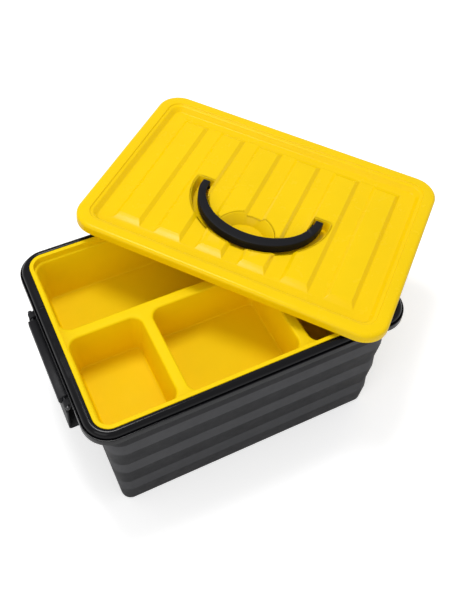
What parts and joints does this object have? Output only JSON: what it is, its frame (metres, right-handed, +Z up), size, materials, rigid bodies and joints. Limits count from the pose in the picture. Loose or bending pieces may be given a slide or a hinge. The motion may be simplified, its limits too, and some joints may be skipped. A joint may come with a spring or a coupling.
{
  "type": "toolbox",
  "caption": "Plastic toolbox: open tub with zigzag wall, lift-out divided tray, loose ribbed lid laid askew with a folding bail handle in a sunk pan, and a flip latch at each end.",
  "frame": {"origin": "middle of the tub's flat base", "axes": "+X along the tub's long side, towards the end that the lid covers; +Y towards the back; +Z up"},
  "size_m": [0.4496, 0.3832, 0.1778],
  "materials": {
    "tub_plastic": "satin moulded polypropylene, charcoal black",
    "yellow_plastic": "satin moulded polypropylene, warm yellow",
    "handle_plastic": "matte black moulded plastic",
    "latch_plastic": "satin black moulded plastic",
    "pin_plastic": "glossy black turned plastic pin"
  },
  "bodies": {
    "tub": {"tub": "tub_plastic", "latch_pin_left": "pin_plastic", "latch_pin_right": "pin_plastic"},
    "tray": {"tray": "yellow_plastic"},
    "lid": {"lid": "yellow_plastic"},
    "handle": {"handle": "handle_plastic"},
    "latch_left": {"latch_left": "latch_plastic"},
    "latch_right": {"latch_right": "latch_plastic"}
  },
  "joints": [
    {"name": "tray_lift", "type": "slide", "parent": "tub", "child": "tray", "axis": [0, 0, 1], "range_m": [0, 0.08]},
    {"name": "lid_lift", "type": "slide", "parent": "tray", "child": "lid", "axis": [0, 0, 1], "range_m": [0, 0.12]},
    {"name": "handle_swing", "type": "hinge", "parent": "lid", "child": "handle", "pos_m": [0.09011, 0.06477, 0.15728], "axis": [-0.6459, 0.7623, 0.0414], "range_deg": [0, 100]},
    {"name": "latch_left_swing", "type": "hinge", "parent": "tub", "child": "latch_left", "pos_m": [-0.1675, 0, 0.128], "axis": [0, 1, 0], "range_deg": [0, 180]},
    {"name": "latch_right_swing", "type": "hinge", "parent": "tub", "child": "latch_right", "pos_m": [0.1675, 0, 0.128], "axis": [0, -1, 0], "range_deg": [0, 105]}
  ]
}
